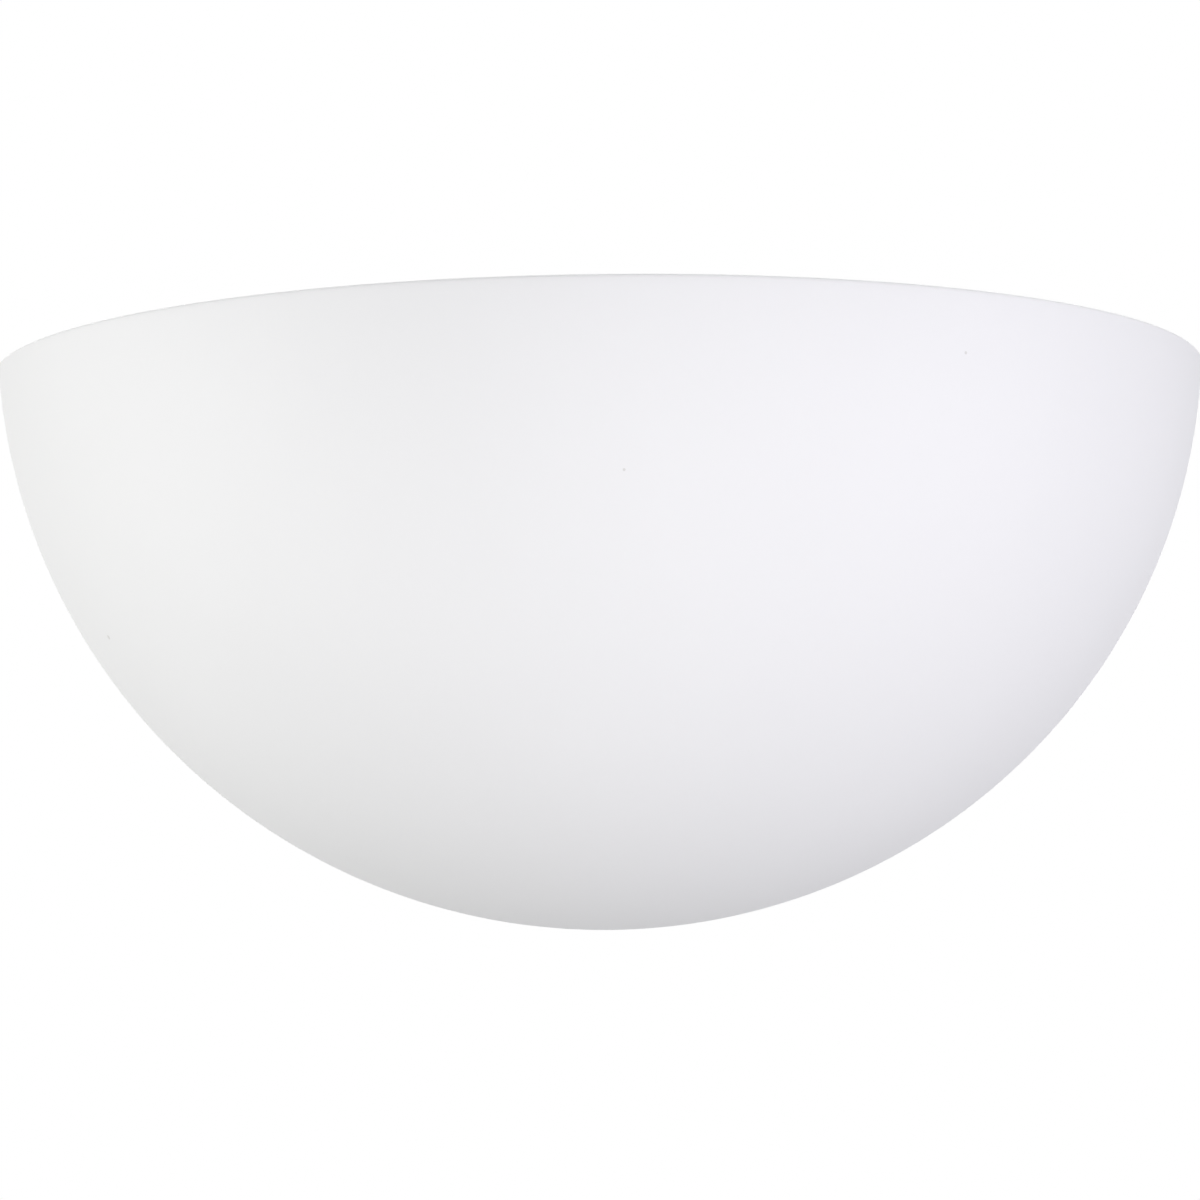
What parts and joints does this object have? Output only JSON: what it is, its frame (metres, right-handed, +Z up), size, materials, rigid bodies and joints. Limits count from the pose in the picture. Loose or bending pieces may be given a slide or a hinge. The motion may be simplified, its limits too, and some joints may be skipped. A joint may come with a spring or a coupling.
{
  "type": "vanity wall sconce",
  "caption": "Open half-bowl wall sconce: a white ceramic bowl hung on a steel mounting plate, with a level screw-base lamp inside that lights upwards.",
  "frame": {"origin": "centre of the wall box's screw pattern, on the wall plane", "axes": "+X across the wall to the viewer's right, +Z up the wall, -Y out of the wall towards the viewer; the wall plane is y = 0"},
  "size_m": [0.318, 0.13, 0.151],
  "materials": {
    "bowl_ceramic": "satin",
    "zinc_steel": "satin",
    "bright_steel": "polished",
    "brass": "satin",
    "nickel": "polished",
    "copper": "satin",
    "tungsten": "matte",
    "pad_fibre": "matte",
    "black_plastic": "matte",
    "green_paint": "satin",
    "socket_porcelain": "gloss",
    "black_wire": "satin",
    "white_wire": "satin",
    "frosted_glass": "matte",
    "clear_glass": "gloss",
    "black_glass": "gloss"
  },
  "bodies": {
    "fixed": {"mounting_plate": "zinc_steel", "crossbar": "zinc_steel", "insulation_pad": "pad_fibre", "wire_bushing": "black_plastic", "plate_screws": "bright_steel", "plate_lock_washers": "bright_steel", "bowl_studs": "bright_steel", "ground_screw": "green_paint", "ground_wire": "copper", "socket_bracket": "zinc_steel", "bracket_rivets": "bright_steel", "socket_nipple": "brass", "nipple_lock_washer": "bright_steel", "nipple_nut": "bright_steel", "socket_cap": "socket_porcelain", "socket_body": "socket_porcelain", "socket_screw_shell": "nickel", "screw_shell_rivets": "brass", "socket_contact": "brass", "contact_rivet": "brass", "shell_terminal": "nickel", "contact_terminal": "brass", "black_lead": "black_wire", "white_lead": "white_wire"},
    "bowl": {"bowl_shell": "bowl_ceramic"},
    "lamp_follower": {"lamp_contact": "nickel"},
    "lamp": {"lamp_glass_bulb": "frosted_glass", "lamp_screw_cap": "nickel", "lamp_insulator": "black_glass", "lamp_stem": "clear_glass", "lamp_filament_wires": "nickel", "lamp_filament": "tungsten"},
    "left_washer": {"left_nut_washer": "bright_steel"},
    "left_nut": {"left_thumb_nut": "brass"},
    "right_washer": {"right_nut_washer": "bright_steel"},
    "right_nut": {"right_thumb_nut": "brass"}
  },
  "joints": [
    {"name": "bowl_lift", "type": "slide", "parent": "fixed", "child": "bowl", "axis": [0, 0, 1], "range_m": [0, 0.014]},
    {"name": "lamp_travel", "type": "slide", "parent": "fixed", "child": "lamp_follower", "axis": [1, 0, 0], "range_m": [0, 0.01815]},
    {"name": "lamp_turn", "type": "hinge", "parent": "lamp_follower", "child": "lamp", "pos_m": [0, -0.052, 0.02], "axis": [1, 0, 0], "range_deg": [0, 1800]},
    {"name": "left_nut_travel", "type": "slide", "parent": "fixed", "child": "left_washer", "axis": [0, -1, 0], "range_m": [0, 0.00636]},
    {"name": "left_nut_turn", "type": "hinge", "parent": "left_washer", "child": "left_nut", "pos_m": [-0.118, -0.03, 0.03], "axis": [0, -1, 0], "range_deg": [0, 2880]},
    {"name": "right_nut_travel", "type": "slide", "parent": "fixed", "child": "right_washer", "axis": [0, -1, 0], "range_m": [0, 0.00636]},
    {"name": "right_nut_turn", "type": "hinge", "parent": "right_washer", "child": "right_nut", "pos_m": [0.118, -0.03, 0.03], "axis": [0, -1, 0], "range_deg": [0, 2880]}
  ],
  "couplings": [
    {"joint": "lamp_travel", "follows": "lamp_turn", "m_per_rad": 0.00057757},
    {"joint": "left_nut_travel", "follows": "left_nut_turn", "m_per_rad": 0.00012633},
    {"joint": "right_nut_travel", "follows": "right_nut_turn", "m_per_rad": 0.00012633}
  ]
}
